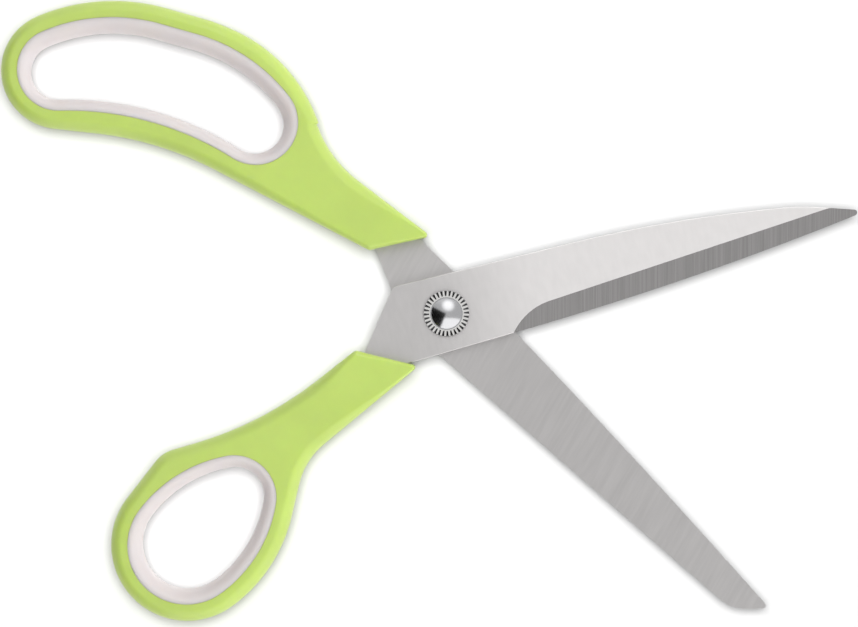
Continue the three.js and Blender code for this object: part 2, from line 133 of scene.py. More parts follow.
def belt(circles, grow=0.0):
    """A closed outline, run anticlockwise, round a row of circles and straight from each to the next.

    On a circle the way inwards turns evenly from one common tangent to the next, and a point lies
    its reach, plus the growth, from the centre. A sweep a hair under nothing isn't wrapped to a whole
    turn. Along a straight run the points are evenly spaced and the rim rounding changes smoothly.
    Returns the points, the ways outwards and the rim rounding."""
    circles = np.stack(circles)
    centres, reach, rim = circles[:, :2], circles[:, 2], circles[:, 3]
    ways = np.roll(centres, -1, axis=0) - centres
    shares = (np.roll(reach, -1) - reach) / np.hypot(ways[:, 0], ways[:, 1])
    leaving = np.arctan2(ways[:, 1], ways[:, 0]) + np.arccos(np.clip(shares, -1, 1))
    arriving = np.roll(leaving, 1)
    turn = np.where(reach < 0, -1, 1)
    sweep = np.mod(turn * (leaving - arriving) + TURN_SLACK, 2 * np.pi) - TURN_SLACK
    inward = arriving[:, None] + (turn * sweep)[:, None] * np.linspace(0, 1, ARC_STEPS)
    outward = -np.stack([np.cos(inward), np.sin(inward)], axis=-1)
    arcs = centres[:, None] + (reach + grow)[:, None, None] * outward
    share = np.linspace(0, 1, LINE_STEPS + 2)[1:-1]
    runs = np.roll(arcs[:, 0], -1, axis=0) - arcs[:, -1]
    lines = arcs[:, -1:] + runs[:, None] * share[:, None]
    smooth = share ** 2 * (3 - 2 * share)
    line_rim = rim[:, None] + (np.roll(rim, -1) - rim)[:, None] * smooth
    arc_rim = np.repeat(rim[:, None], ARC_STEPS, axis=1)
    line_outward = np.repeat(outward[:, -1:], LINE_STEPS, axis=1)
    points = np.concatenate([arcs, lines], axis=1).reshape(-1, 2)
    outward = np.concatenate([outward, line_outward], axis=1).reshape(-1, 2)
    rim = np.concatenate([arc_rim, line_rim], axis=1).reshape(-1)
    return points, outward, rim


def side_arc(start, end, reach):
    """The circle that joins two others on the left of the way between them: its centre lies a
    difference of reaches from each of theirs."""
    way = end[:2] - start[:2]
    span = np.hypot(*way)
    from_start, from_end = abs(reach - start[2]), abs(reach - end[2])
    along = (from_start ** 2 - from_end ** 2 + span ** 2) / (2 * span)
    across = -np.sign(reach) * np.sqrt(from_start ** 2 - along ** 2)
    x, y = start[:2] + (along * way + across * np.array([-way[1], way[0]])) / span
    return circle(x, y, reach)


def touching(other, facing, radius, rim=0.0):
    """A bulging circle that touches another, or passes through a point, where both face one way: its
    centre lies a difference of reaches from the other's, along that way."""
    x, y = other[:2] + (other[2] - radius) * np.array([np.cos(facing), np.sin(facing)])
    return circle(x, y, radius, rim)


def on_neck(neck, along, off):
    """A place so far along a neck from its end face, and so far off its axis to the spine side."""
    cos, sin = np.cos(neck["heading"]), np.sin(neck["heading"])
    x = -neck["reach"] * np.cos(neck["bearing"]) - along * cos - off * sin
    y = -neck["reach"] * np.sin(neck["bearing"]) - along * sin + off * cos
    return np.array([x, y])


def raised(outline, height):
    """A flat outline as a ring of points at one height."""
    return np.column_stack([outline, np.full(len(outline), height)])


def skin(numbers):
    """Quads between neighbouring rings of point numbers, each ring closed on itself."""
    below, above = numbers[:-1], numbers[1:]
    corners = [below, np.roll(below, -1, axis=1), np.roll(above, -1, axis=1), above]
    return np.stack(corners, axis=-1).reshape(-1, 4)


def ring_numbers(rings):
    """The number of each point, ring by ring."""
    return np.arange(rings.shape[0] * rings.shape[1]).reshape(rings.shape[:2])


def stacked(rings):
    """A solid between rings that rise one above the other, closed by a flat face at the lowest and at
    the highest."""
    numbers = ring_numbers(rings)
    ends = [numbers[0, ::-1].tolist(), numbers[-1].tolist()]
    return rings.reshape(-1, 3), skin(numbers).tolist() + ends


def evenly_round():
    """Points evenly spaced on a circle of radius one: the cosine and sine of their angles."""
    angle = np.linspace(0, 2 * np.pi, ROUND_STEPS, endpoint=False)
    return np.column_stack([np.cos(angle), np.sin(angle)])


def post(centre, radius, heights):
    """A round bar: the same circle of points at its two heights."""
    outline = centre + radius * evenly_round()
    return stacked(np.stack([raised(outline, height) for height in heights]))


def mesh_object(name, points, faces, turn=np.eye(3)):
    """An object at the origin whose mesh is turned, scaled to metres and lifted to the pivot."""
    mesh = bpy.data.meshes.new(name)
    mesh.from_pydata(points @ turn.T * MILLIMETRE + pivot, [], faces)
    merged = bmesh.new()
    merged.from_mesh(mesh)
    bmesh.ops.remove_doubles(merged, verts=merged.verts, dist=SAME_POINT)
    merged.to_mesh(mesh)
    merged.free()
    made = bpy.data.objects.new(name, mesh)
    bpy.context.scene.collection.objects.link(made)
    return made


def cut_away(body, cutter):
    """Takes one solid out of another and removes the cutter."""
    cut = body.modifiers.new("cut", "BOOLEAN")
    cut.operation = "DIFFERENCE"
    cut.solver = "EXACT"
    cut.object = cutter
    bpy.context.view_layer.update()
    whole = body.data
    evaluated = body.evaluated_get(bpy.context.evaluated_depsgraph_get())
    body.data = bpy.data.meshes.new_from_object(evaluated)
    body.modifiers.clear()
    body.data.name = body.name
    bpy.data.meshes.remove(whole)
    bpy.data.objects.remove(cutter)


def smooth_faces(made, sharpest):
    """Smooth shading, broken along edges that bend by more than an angle in degrees."""
    made.data.polygons.foreach_set("use_smooth", np.ones(len(made.data.polygons), bool))
    made.data.set_sharp_from_angle(angle=np.radians(sharpest))


def face_normals(made):
    """The way that each face of an object looks."""
    normals = np.zeros(3 * len(made.data.polygons))
    made.data.polygons.foreach_get("normal", normals)
    return normals.reshape(-1, 3)


def add_node(tree, kind, inputs=(), **settings):
    """A shader node with its settings, and each of its inputs set to a value or linked to a socket."""
    made = tree.nodes.new(kind)
    for name, value in settings.items():
        setattr(made, name, value)
    for name, value in dict(inputs).items():
        if isinstance(value, bpy.types.NodeSocket):
            tree.links.new(value, made.inputs[name])
        else:
            made.inputs[name].default_value = value
    return made


def finish_tree(name):
    """A new material: its node tree, its shader and its Object coordinates."""
    material = bpy.data.materials.new(name)
    material.use_nodes = True
    tree = material.node_tree
    shader = tree.nodes["Principled BSDF"]
    place = add_node(tree, "ShaderNodeTexCoord").outputs["Object"]
    return material, tree, shader, place


def mapped(tree, value, span, levels, passage="LINEAR"):
    """A value that runs over a span, carried evenly or smoothly to two levels."""
    ranges = dict(zip(("From Min", "From Max", "To Min", "To Max"), (*span, *levels)))
    ranges["Value"] = value
    return add_node(tree, "ShaderNodeMapRange", ranges, interpolation_type=passage).outputs["Result"]


def grain_at(tree, place, scale, detail):
    """Noise at a place, between 0 and 1."""
    noise = {"Vector": place, "Scale": scale, "Detail": detail}
    return add_node(tree, "ShaderNodeTexNoise", noise).outputs["Fac"]


def fine_skin(tree, shader, grain, roughness, strength, height):
    """A grain in the roughness, between two values, and as bumps of a height in metres."""
    tree.links.new(mapped(tree, grain, (0, 1), roughness), shader.inputs["Roughness"])
    bumps = {"Height": grain, "Strength": strength, "Distance": height}
    bumped = add_node(tree, "ShaderNodeBump", bumps).outputs["Normal"]
    tree.links.new(bumped, shader.inputs["Normal"])


def streaked_steel(name, direction, painted_shades, swing, roughness, streak):
    """Steel with grinding streaks: noise stretched across one direction shifts the shade and the
    roughness, and raises fine ridges. The shade itself is painted light: it passes smoothly from one
    painted shade at the pivot to another along the blade."""
    material, tree, shader, place = finish_tree(name)
    shader.inputs["Metallic"].default_value = 1.0
    turning = {"Vector": place, "Rotation": (0, 0, -direction)}
    turned = add_node(tree, "ShaderNodeMapping", turning).outputs["Vector"]
    along = add_node(tree, "ShaderNodeSeparateXYZ", {"Vector": turned}).outputs["X"]
    # Painted shade: the base shade is painted darker or lighter along the blade
    shade = mapped(tree, along, PAINTED_SHADE_SPAN, painted_shades, "SMOOTHSTEP")
    width, length = streak
    stretching = {"Vector": turned, "Scale": (1 / width, 1 / length, 1 / length)}
    stretched = add_node(tree, "ShaderNodeMapping", stretching).outputs["Vector"]
    grain = grain_at(tree, stretched, scale=1.0, detail=3.0)
    change = mapped(tree, grain, NOISE_SPAN, (-swing, swing))
    shade = add_node(tree, "ShaderNodeMath", {0: shade, 1: change}, operation="ADD").outputs["Value"]
    tint = {0: STEEL_TINT, "Scale": shade}
    colour = add_node(tree, "ShaderNodeVectorMath", tint, operation="SCALE").outputs["Vector"]
    tree.links.new(colour, shader.inputs["Base Color"])
    gloss = (roughness - ROUGHNESS_SWING, roughness + ROUGHNESS_SWING)
    fine_skin(tree, shader, grain, gloss, strength=0.15, height=0.00002)
    return material


def blade_circles(length, back, heel, neck, tang_roots, choil, edge_radius):
    """The row of circles round a blade: tip, back, heel, tang, choil and cutting edge. Each root of
    the tang is a distance from the neck's end face and a reach. The first lies behind that face, on
    the spine side, and the second ahead of it, on the edge side."""
    tip = circle(length - TIP_RADIUS, 0, TIP_RADIUS)
    half_width = neck["width"] / 2 - NECK_WALL
    tang_end = TANG_LENGTH - TANG_END_RADIUS
    behind, ahead = tang_roots
    return [
        tip,
        *back,
        heel,
        circle(*on_neck(neck, behind[0], half_width - behind[1]), behind[1]),
        circle(*on_neck(neck, tang_end, half_width - TANG_END_RADIUS), TANG_END_RADIUS),
        circle(*on_neck(neck, tang_end, TANG_END_RADIUS - half_width), TANG_END_RADIUS),
        circle(*on_neck(neck, -ahead[0], ahead[1] - half_width), ahead[1]),
        choil,
        side_arc(tip, choil, edge_radius),
    ]


def lock_hole(neck):
    """The middle of the hole in a tang, through which the handle's plastic locks it."""
    return on_neck(neck, TANG_LENGTH - LOCK_HOLE_INSET, 0)


def blade_blank(circles):
    """The blank: the outline rises from the inner to the outer face, drawn in by a quarter round at
    both and then by a flat margin."""
    lean = np.linspace(0, np.pi / 2, EDGE_STEPS)
    inset, rise = 1 - np.sin(lean), 1 - np.cos(lean)
    draws = np.concatenate([INNER_EDGE_ROUND * inset, OUTER_EDGE_ROUND * inset[::-1]])
    draws = np.concatenate([[draws[0] + FACE_MARGIN], draws, [draws[-1] + FACE_MARGIN]])
    lower = blade_inner + INNER_EDGE_ROUND * rise
    upper = blade_outer - OUTER_EDGE_ROUND * rise[::-1]
    heights = np.concatenate([[blade_inner], lower, upper, [blade_outer]])
    rings = [raised(belt(circles, -draw)[0], height) for draw, height in zip(draws, heights)]
    return stacked(np.stack(rings))


def bevel_cut(circles):
    """What the grinding wheel takes off: a slab on a plane that falls from a line on the outer face to
    the edge. The line closes on the edge's chord by a small angle, and runs down an arc to the choil
    where the wheel ran out. Returns the slab and the way off its plane."""
    tip, choil, edge = circles[0], circles[-2], circles[-1]
    start = choil[:2] - (0, choil[2])
    chord = tip[:2] - (0, tip[2]) - start
    along = chord / np.hypot(*chord)
    to_spine = np.array([-along[1], along[0]])
    belly = edge[2] - (edge[:2] - start) @ to_spine
    width_at_choil = BEVEL_WIDTH - belly
    radius, far = BEVEL_RUNOUT_RADIUS, chord @ along + BEVEL_WIDTH
    runout = np.sqrt(radius ** 2 - (radius - width_at_choil) ** 2)
    angle = np.linspace(np.pi / 2, np.pi, ARC_STEPS)
    arc = np.column_stack([runout + radius * np.cos(angle), radius * (np.sin(angle) - 1)])
    below = -2 * radius
    corners = [(runout - radius, below), (far, below), (far, BEVEL_WIDTH), (runout, BEVEL_WIDTH)]
    outline = np.concatenate([arc, corners])
    fall = np.arctan((BLADE_THICKNESS - EDGE_LAND) / BEVEL_WIDTH)
    on_plane = np.append(to_spine * np.cos(fall), np.sin(fall))
    off_plane = np.append(-to_spine * np.sin(fall), np.cos(fall))
    base = np.append(start + width_at_choil * to_spine, blade_outer)
    closing = along * np.cos(BEVEL_CLOSING) - to_spine * np.sin(BEVEL_CLOSING)
    base = base + outline[:, :1] * np.append(closing, 0) + outline[:, 1:] * on_plane
    slab = stacked(np.stack([base, base + (BLADE_THICKNESS + BEVEL_WIDTH) * off_plane]))
    return slab, off_plane


def make_blade(node, body, circles, neck, turn, direction):
    """A blade: blank, ground bevel, holes for the pivot and in the tang, and the finish of each side,
    with its painted shade, told apart by the way that a face looks."""
    blade = mesh_object(node + "_steel", *blade_blank(circles), turn)
    slab, off_bevel = bevel_cut(circles)
    pivot_bar = post((0, 0), PIVOT_HOLE_RADIUS, through_blade)
    lock_bar = post(lock_hole(neck), LOCK_HOLE_RADIUS, through_blade)
    cut_away(blade, mesh_object("bevel_cut", *slab, turn))
    cut_away(blade, mesh_object("pivot_hole", *pivot_bar, turn))
    cut_away(blade, mesh_object("lock_hole", *lock_bar, turn))
    smooth_faces(blade, sharpest=13)
    wheel = direction + turn[2, 2] * WHEEL_LEAN
    # The satin, bevel and ground steels carry painted shade: darker or lighter in places along the blade
    blade.data.materials.append(streaked_steel(node + "_satin", direction, **satin_finish))
    blade.data.materials.append(streaked_steel(node + "_bevel", wheel, **bevel_finish))
    blade.data.materials.append(streaked_steel(node + "_ground", wheel, **ground_finish))
    facing = face_normals(blade) @ turn
    side = np.select([facing @ off_bevel > ON_BEVEL, facing[:, 2] > FACES_OUT], [1, 0], 2)
    blade.data.polygons.foreach_set("material_index", side.astype(np.int32))
    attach(blade, body)
    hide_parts(node)
    return blade


# The front blade's back is straight, then bends gently from a place so far from the tip, and ends in
# a slim nose. The rear blade's runs straight from a shoulder near the pivot to a round nose
bend_start = circle(FRONT_BLADE_LENGTH - FRONT_BEND_FROM_TIP, FRONT_BEND_RISE, 0)
front_bend = touching(bend_start, np.pi / 2, FRONT_BEND_RADIUS)
front_nose = touching(front_bend, FRONT_NOSE_FACING, FRONT_NOSE_RADIUS)
nose_start = circle(REAR_BLADE_LENGTH - REAR_NOSE_FROM_TIP, REAR_NOSE_RISE, 0)
rear_nose = touching(nose_start, REAR_NOSE_FACING, REAR_NOSE_RADIUS)
rear_shoulder = circle(6, 7.9, 1.5)

front_circles = blade_circles(
    length=FRONT_BLADE_LENGTH,
    back=[front_nose, front_bend],
    heel=circle(-11.6, 9.2, 1.1),
    neck=thumb_neck,
    tang_roots=[(5.1, -TANG_ROOT_RADIUS), (3.1, -TANG_ROOT_RADIUS)],
    choil=circle(16, -9.35, 0),
    edge_radius=906)
rear_circles = blade_circles(
    length=REAR_BLADE_LENGTH,
    back=[rear_nose, rear_shoulder],
    heel=circle(-6.2, 8, 1.5),
    neck=finger_neck,
    tang_roots=[(6.9, -TANG_ROOT_RADIUS), (4.1, TANG_ROOT_RADIUS)],
    choil=circle(17.2, CHOIL_RADIUS - 8.85, CHOIL_RADIUS),
    edge_radius=2500)
front_blade = make_blade("front_blade", "front_half", front_circles, thumb_neck, front_turn,
                         BLADE_OPENING / 2)
rear_blade = make_blade("rear_blade", "rear_half", rear_circles, finger_neck, rear_turn,
                        -BLADE_OPENING / 2)


# Handles
#
# Green plastic, injection moulded round the tangs, with a neck that grips each blade and a loop for
# the thumb or the fingers. Their edges are rounded over to both faces, and a pocket in each loop
# holds its soft liner.

HANDLE_THICKNESS = 10
LOOP_WALL = 4.65
LINER_WIDTH = 3.9
RIM_ROUND = 3
RIM_HEIGHT_SHARE = 1.4
RIM_STEPS = 14
NECK_CORNER_RADIUS = 1.5
NECK_POINT_RADIUS = 0.8
NECK_RIM_SHARE = 0.85
POCKET_CHAMFER = 0.05
TONGUE_DEPTH = 1.2
TONGUE_HEIGHT = 3
SEAT_GAP = 0.2
STOP_FACING = np.radians(81)
STOP_RISE = 5.4
STOP_RADIUS = 9
SHOULDER_FACING = np.radians(-72.9)
SHOULDER_WALL = 3.9
SHOULDER_RADIUS = 42
THUMB_HOLE_SIDES = (32.8, 34)
FINGER_HOLE_OUTER_RADIUS = 43.5
FINGER_HOLE_OUTER_FACINGS = np.radians([-156, -80.5])
FINGER_HOLE_INNER_REACH = -87
GREEN = np.array([0.555, 0.705, 0.175])
GREEN_CLOUD = (0.97, 1.03)

handle_face = HANDLE_THICKNESS / 2

# A loop: its near end along the neck and off it, its lean, the length of its hole and the radii of
# the hole's ends. A sweep into the loop: how far short of the near end it starts, how far off the
# neck, and its radius
thumb_loop = dict(along=55, off=-4, lean=np.radians(7), length=18, near=7.4, far=11.85)
thumb_sweeps = [(36.8, 6.9, 98), (28, 7.7, 19.9)]
finger_loop = dict(along=49.8, off=-6.5, lean=np.radians(-17.4), length=54.5, near=7.45, far=7.1)
finger_sweeps = [(4.7, 9.7, 90), (33.9, 8, 32.3)]


def loop_ends(neck, loop):
    """The circles of the near and the far end of a loop's hole."""
    way = neck["heading"] + loop["lean"]
    near = circle(*on_neck(neck, loop["along"], loop["off"]), loop["near"])
    middle = near[:2] - loop["length"] * np.array([np.cos(way), np.sin(way)])
    return near, circle(*middle, loop["far"])


def outside(hole_circle, wall=LOOP_WALL):
    """A circle of the loop's outside: a liner and a wall further out than the hole's own."""
    x, y, reach = hole_circle[:3]
    return circle(x, y, reach + LINER_WIDTH + wall, RIM_ROUND)


def neck_corner(neck, side):
    """A corner of the slanted end face: blunt on its spine side (1) and pointed on its edge side
    (-1)."""
    radius = NECK_CORNER_RADIUS if side > 0 else NECK_POINT_RADIUS
    off = side * (neck["width"] / 2 - radius)
    along = off * np.tan(neck["slant"]) + radius / np.cos(neck["slant"])
    return circle(*on_neck(neck, along, off), radius, radius * NECK_RIM_SHARE)


def sweep_circle(neck, loop, sweep, side):
    """The hollow curve from the neck into the loop, on one side."""
    short, off, radius = sweep
    middle = on_neck(neck, loop["along"] - short, side * (off + radius))
    return circle(*middle, -radius, RIM_ROUND)


def mirrored(upper):
    """Rings from the lower face to the upper one, of which the lower ones mirror the upper."""
    return np.concatenate([upper[::-1] * (1, 1, -1), upper])


def handle_outside(circles):
    """Rings from the lower to the upper face: the outline is drawn in along a quarter ellipse towards
    each, and then by a flat margin."""
    points, outward, rim = belt(circles)
    lean = np.linspace(0, np.pi / 2, RIM_STEPS)[:, None]
    inset = rim * (1 - np.cos(lean))
    height = handle_face - rim * RIM_HEIGHT_SHARE * (1 - np.sin(lean))
    inset = np.vstack([inset, rim + FACE_MARGIN])
    height = np.vstack([height, np.full(len(rim), handle_face)])
    return mirrored(np.dstack([points - inset[..., None] * outward, height]))


def liner_pocket(hole):
    """The space for a liner: straight walls with a groove for its tongue, opened a little at both
    faces."""
    groove = TONGUE_HEIGHT / 2 + SEAT_GAP
    section = [
        (TONGUE_DEPTH, groove),
        (0, groove),
        (0, handle_face - POCKET_CHAMFER),
        (POCKET_CHAMFER + CUT_PAST, handle_face + CUT_PAST),
    ]
    upper = [raised(belt(hole, LINER_WIDTH + out)[0], height) for out, height in section]
    return stacked(mirrored(np.stack(upper)))


def tang_space(circles):
    """The slot for a tang: its outline with a little room all round."""
    heights = (blade_inner - SEAT_GAP, blade_outer + SEAT_GAP)
    return stacked(np.stack([raised(belt(circles, SEAT_GAP)[0], height) for height in heights]))


def clouded(tree, shader, cloud, colours):
    """The base colour: a cloud of noise that passes evenly between two colours."""
    ramp = add_node(tree, "ShaderNodeValToRGB", {"Fac": cloud})
    for stop, position, colour in zip(ramp.color_ramp.elements, NOISE_SPAN, colours):
        stop.position = position
        stop.color = (*colour, 1)
    tree.links.new(ramp.outputs["Color"], shader.inputs["Base Color"])


def green_plastic():
    """Smooth moulded plastic: a faint cloudiness in the colour, and a fine skin in roughness and
    bump."""
    material, tree, shader, place = finish_tree("green_plastic")
    shader.inputs["IOR"].default_value = 1.47
    shader.inputs["Subsurface Weight"].default_value = 1.0
    shader.inputs["Subsurface Radius"].default_value = (1.0, 1.0, 0.5)
    shader.inputs["Subsurface Scale"].default_value = 0.001
    cloud = grain_at(tree, place, scale=70.0, detail=2.0)
    clouded(tree, shader, cloud, [share * GREEN for share in GREEN_CLOUD])
    skin_grain = grain_at(tree, place, scale=2500.0, detail=2.0)
    fine_skin(tree, shader, skin_grain, roughness=(0.36, 0.48), strength=0.12, height=0.00003)
    return material


def make_handle(node, body, circles, blade, neck, hole, turn, material):
    """A handle: outside, liner's pocket, tang's slot with plastic left through the tang's hole, and
    its finish."""
    handle = mesh_object(node + "_moulding", *stacked(handle_outside(circles)), turn)
    cut_away(handle, mesh_object("liner_pocket", *liner_pocket(hole), turn))
    slot = mesh_object("tang_space", *tang_space(blade), turn)
    lock_pin = post(lock_hole(neck), LOCK_HOLE_RADIUS - SEAT_GAP, through_blade)
    cut_away(slot, mesh_object("lock_pin", *lock_pin, turn))
    cut_away(handle, slot)
    smooth_faces(handle, sharpest=30)
    handle.data.materials.append(material)
    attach(handle, body)
    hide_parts(node)


thumb_near, thumb_far = loop_ends(thumb_neck, thumb_loop)
thumb_hole = [
    thumb_far,
    side_arc(thumb_near, thumb_far, THUMB_HOLE_SIDES[0]),
    thumb_near,
    side_arc(thumb_far, thumb_near, THUMB_HOLE_SIDES[1]),
]
thumb_circles = [
    neck_corner(thumb_neck, 1),
    sweep_circle(thumb_neck, thumb_loop, thumb_sweeps[0], 1),
    touching(outside(thumb_hole[0], LOOP_WALL + STOP_RISE), STOP_FACING, STOP_RADIUS, RIM_ROUND),
    outside(thumb_hole[0]),
    outside(thumb_hole[1]),
    sweep_circle(thumb_neck, thumb_loop, thumb_sweeps[1], -1),
    neck_corner(thumb_neck, -1),
]
finger_near, finger_far = loop_ends(finger_neck, finger_loop)
finger_hole = [
    finger_far,
    touching(finger_far, FINGER_HOLE_OUTER_FACINGS[0], FINGER_HOLE_OUTER_RADIUS),
    touching(finger_near, FINGER_HOLE_OUTER_FACINGS[1], FINGER_HOLE_OUTER_RADIUS),
    finger_near,
    side_arc(finger_far, finger_near, FINGER_HOLE_INNER_REACH),
]
finger_circles = [
    neck_corner(finger_neck, 1),
    sweep_circle(finger_neck, finger_loop, finger_sweeps[0], 1),
    outside(finger_hole[0]),
    outside(finger_hole[1]),
    outside(finger_hole[2]),
    touching(outside(finger_near, SHOULDER_WALL), SHOULDER_FACING, SHOULDER_RADIUS, RIM_ROUND),
    sweep_circle(finger_neck, finger_loop, finger_sweeps[1], -1),
    neck_corner(finger_neck, -1),
]
moulded = green_plastic()
make_handle("thumb_handle", "front_half", thumb_circles, front_circles, thumb_neck, thumb_hole,
            front_turn, moulded)
make_handle("finger_handle", "rear_half", finger_circles, rear_circles, finger_neck, finger_hole,
            rear_turn, moulded)


# Loop liners
#
# Pale soft rubber rings pressed into the pockets of the loops. A tongue round the middle of the
# outside locks each in its groove, and the side towards the hole is crowned for the fingers.

LINER_DROP = 0.02
LINER_SEAT = 0.02
LIP_ROUND = 0.06
LIP_STEPS = 5
LINER_LIP = 0.7
LINER_CORE = 1.6
CROWN_STEPS = 20
OPENING_GROWTH = 0.3
THUMB_OPENING_SHIFT = (0.23, 0.3)
FINGER_OPENING_SHIFT = (0, 0.56)
PALE = np.array([0.735, 0.69, 0.68])
PALE_CLOUD = np.array([(0.985, 0.98, 0.995), (1.015, 1.01, 1.0)])


def liner_rings(hole, opening_shift):
    """The liner's section carried round the hole: tongue, straight back, narrow lip, and a quarter
    ellipse from the lip down to the core, the same on both faces. From the lip to the core a share
    of the opening's growth and shift is added, which rises evenly to the whole."""
    face, back, core = handle_face - LINER_DROP, LINER_WIDTH - LINER_SEAT, LINER_CORE / 2
    lip = back - LINER_LIP
    tongue = [(back + TONGUE_DEPTH, TONGUE_HEIGHT / 2), (back, TONGUE_HEIGHT / 2)]
    bend = np.linspace(0, np.pi / 2, LIP_STEPS)
    drawn_in, drawn_down = LIP_ROUND * (1 - np.cos(bend)), LIP_ROUND * (1 - np.sin(bend))
    rounded = np.column_stack([back - drawn_in, face - drawn_down])
    lean = np.linspace(0, np.pi / 2, CROWN_STEPS)
    crown = np.column_stack([lip * (1 - np.sin(lean)), core + (face - core) * np.cos(lean)])
    upper = np.concatenate([tongue, rounded, crown])
    grow, height = np.concatenate([upper, upper[::-1] * (1, -1)]).T[..., None, None]
    points, outward, _ = belt(hole)
    opened = np.clip(1 - grow / lip, 0, 1) * (OPENING_GROWTH * outward + opening_shift)
    level = points + grow * outward + opened
    return np.concatenate([level, np.broadcast_to(height, (*level.shape[:2], 1))], axis=2)


def ringed(rings):
    """A closed ring of a solid: quads from ring to ring, and from the last back to the first."""
    numbers = ring_numbers(rings)
    return rings.reshape(-1, 3), skin(np.concatenate([numbers, numbers[:1]])).tolist()


def pale_rubber():
    """Soft rubber: matt, with a faint warm and cool mottling and the fine grain of its mould."""
    material, tree, shader, place = finish_tree("pale_rubber")
    shader.inputs["Subsurface Weight"].default_value = 1.0
    shader.inputs["Subsurface Radius"].default_value = (1.0, 0.95, 0.9)
    shader.inputs["Subsurface Scale"].default_value = 0.002
    cloud = grain_at(tree, place, scale=110.0, detail=3.0)
    clouded(tree, shader, cloud, PALE * PALE_CLOUD)
    mould_grain = grain_at(tree, place, scale=3000.0, detail=2.0)
    fine_skin(tree, shader, mould_grain, roughness=(0.55, 0.7), strength=0.15, height=0.00003)
    return material


def make_liner(node, body, hole, opening_shift, turn, material):
    """A liner and its finish."""
    liner = mesh_object(node + "_ring", *ringed(liner_rings(hole, opening_shift)), turn)
    smooth_faces(liner, sharpest=50)
    liner.data.materials.append(material)
    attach(liner, body)
    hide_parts(node)


soft = pale_rubber()
make_liner("thumb_loop_liner", "front_half", thumb_hole, THUMB_OPENING_SHIFT, front_turn, soft)
make_liner("finger_loop_liner", "rear_half", finger_hole, FINGER_OPENING_SHIFT, rear_turn, soft)


# Pivot nut
#
# A turned steel barrel nut, nickel plated, with a flat head on the rear face of the scissors. Its
# barrel passes through both blades, so that they turn on it, and takes the screw.

PIVOT_PLAY = 0.1
SHANK_RADIUS = 2
BARREL_RADIUS = 3.2
NUT_HEAD_RADIUS = 5
NUT_CHAMFER = 0.6
NUT_FLOOR = 1.2
NICKEL = (0.90, 0.89, 0.87)
TURNING_MARKS = 6000.0
MARKS_GLOSS = (0.8, 1.2)


def turned_solid(profile):
    """A profile of radius and height, from the axis round the outside and back to the axis, carried
    round it."""
    rings = np.stack([raised(radius * evenly_round(), height) for radius, height in profile])
    return rings.reshape(-1, 3), skin(ring_numbers(rings)).tolist()


def turned_metal(name, colour, roughness):
    """Plated metal: fine turning marks, rings round the pivot's axis, in its roughness and bump."""
    material, tree, shader, place = finish_tree(name)
    shader.inputs["Base Color"].default_value = (*colour, 1)
    shader.inputs["Metallic"].default_value = 1.0
    flattening = {"Vector": place, "Scale": (1, 1, 0)}
    flat = add_node(tree, "ShaderNodeMapping", flattening).outputs["Vector"]
    length = add_node(tree, "ShaderNodeVectorMath", {"Vector": flat}, operation="LENGTH")
    marks = {"W": length.outputs["Value"], "Scale": TURNING_MARKS, "Detail": 2.0}
    grain = add_node(tree, "ShaderNodeTexNoise", marks, noise_dimensions="1D").outputs["Fac"]
    gloss = [roughness * share for share in MARKS_GLOSS]
    fine_skin(tree, shader, grain, gloss, strength=0.05, height=0.00001)
    return material


bore = SHANK_RADIUS + PIVOT_PLAY
nut_shoulder = -blade_outer - PIVOT_PLAY
nut = mesh_object("barrel_nut", *turned_solid([
    (0, -handle_face),
    (NUT_HEAD_RADIUS - NUT_CHAMFER, -handle_face),
    (NUT_HEAD_RADIUS, NUT_CHAMFER - handle_face),
    (NUT_HEAD_RADIUS, nut_shoulder),
    (BARREL_RADIUS, nut_shoulder),
    (BARREL_RADIUS, blade_outer),
    (bore, blade_outer),
    (bore, NUT_FLOOR - handle_face),
    (0, NUT_FLOOR - handle_face),
]))
smooth_faces(nut, sharpest=30)
plated = turned_metal("nickel_plate", NICKEL, roughness=0.2)
nut.data.materials.append(plated)
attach(nut, "rear_half")
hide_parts("pivot_nut")


# Toothed washer
#
# A spring steel washer, stamped with a ring of teeth. The teeth's lands are nickel plated, and the
# grooves between them are coloured near black as painted shade. It lies under the screw's head and
# keeps the screw from working loose.

WASHER_THICKNESS = 0.8
WASHER_TEETH = 32
WASHER_TIP_RADIUS = 6.05
WASHER_ROOT_RADIUS = 4.65
TOOTH_ROOT_SHARE = 0.6
TOOTH_TIP_SHARE = 0.4
GROOVE_END = 0.12
GROOVE_SLOPE = np.tan(np.radians(37))
LAND_UPRIGHT = 0.95
# Painted shade: the near-black colour given to the grooves between the teeth
GROOVE_PAINTED_SHADE = (0.1, 0.1, 0.103)

washer_base = blade_outer + PIVOT_PLAY
washer_top = washer_base + WASHER_THICKNESS


def toothed_rings():
    """Rings of points round the washer: foot and top of its edge, the grooves' inner ends, the top
    inside them, and the top and foot of the bore. A tooth's flat land takes a share of its pitch, and
    the groove between two lands falls evenly from both to its middle."""
    pitch = 2 * np.pi / WASHER_TEETH
    share = np.array([TOOTH_TIP_SHARE, TOOTH_ROOT_SHARE, TOOTH_ROOT_SHARE, TOOTH_ROOT_SHARE])
    groove_end = WASHER_ROOT_RADIUS + GROOVE_END
    radius = np.array([WASHER_TIP_RADIUS, groove_end, WASHER_ROOT_RADIUS, bore])
    depth = GROOVE_SLOPE * (1 - share) / 2 * pitch * radius * (1, 1, 0, 0)
    share, radius, depth = np.repeat([share, radius, depth], [2, 1, 1, 2], axis=1)
    middle = np.arange(WASHER_TEETH)[:, None] * pitch
    across = np.stack([-share / 2, share / 2, np.full(len(share), 0.5)], axis=-1) * pitch
    angle = (middle + across[:, None]).reshape(len(share), -1)
    height = washer_top - np.tile(depth[:, None] * (0, 0, 1), WASHER_TEETH)
    height[[0, -1]] = washer_base
    radius = radius[:, None]
    return np.stack([radius * np.cos(angle), radius * np.sin(angle), height], axis=-1)


